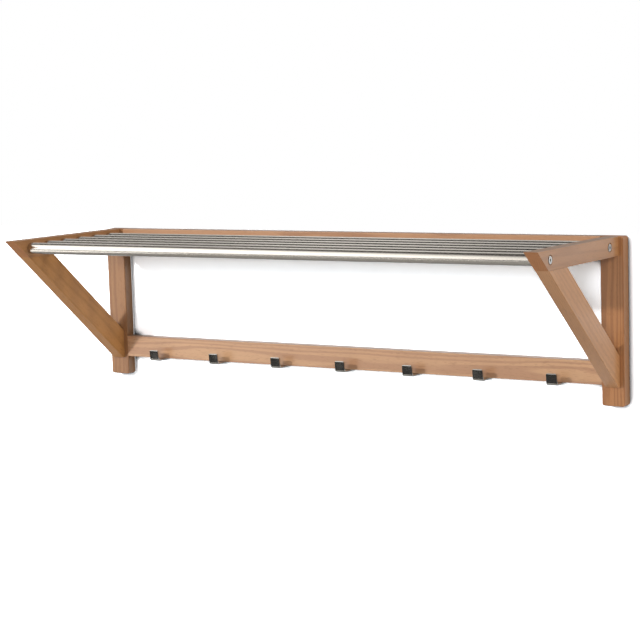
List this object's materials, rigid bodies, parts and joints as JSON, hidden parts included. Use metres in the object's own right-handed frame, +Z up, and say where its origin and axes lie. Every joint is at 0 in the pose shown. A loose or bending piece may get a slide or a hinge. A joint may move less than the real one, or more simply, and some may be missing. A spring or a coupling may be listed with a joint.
{
  "type": "wall coat rack",
  "caption": "Wall-hung coat rack: a wooden frame with pointed side brackets carrying a hat shelf of steel tubes, and bent steel strip hooks under the lower rail.",
  "frame": {"origin": "centre of the top rail's back face, on the wall plane", "axes": "+X along the rails to the rack's right as seen from the room, +Y into the wall, +Z up"},
  "size_m": [1, 0.3, 0.2625],
  "materials": {
    "oiled_wood": "oiled, fine straight grain, eased edges",
    "dowel_wood": "plain turned beech",
    "satin_steel": "satin, brushed round the tube",
    "polished_steel": "mirror polished strip with rounded edges",
    "nickel_steel": "nickel plated, satin face",
    "zinc_steel": "bright zinc plated"
  },
  "bodies": {
    "root": {"left_stile": "oiled_wood", "right_stile": "oiled_wood", "top_rail": "oiled_wood", "lower_rail": "oiled_wood", "left_arm": "oiled_wood", "right_arm": "oiled_wood", "left_brace": "oiled_wood", "right_brace": "oiled_wood", "front_tube": "satin_steel", "tube_2": "satin_steel", "tube_3": "satin_steel", "tube_4": "satin_steel", "tube_5": "satin_steel", "rear_tube": "satin_steel", "tube_plugs": "zinc_steel", "arm_bolts": "nickel_steel", "rail_dowels": "dowel_wood", "arm_dowels": "dowel_wood", "brace_dowels": "dowel_wood", "hook_1": "polished_steel", "hook_2": "polished_steel", "hook_3": "polished_steel", "hook_4": "polished_steel", "hook_5": "polished_steel", "hook_6": "polished_steel", "hook_7": "polished_steel", "hook_screws": "zinc_steel", "left_hanger": "zinc_steel", "right_hanger": "zinc_steel", "hanger_screws": "zinc_steel"}
  },
  "joints": []
}
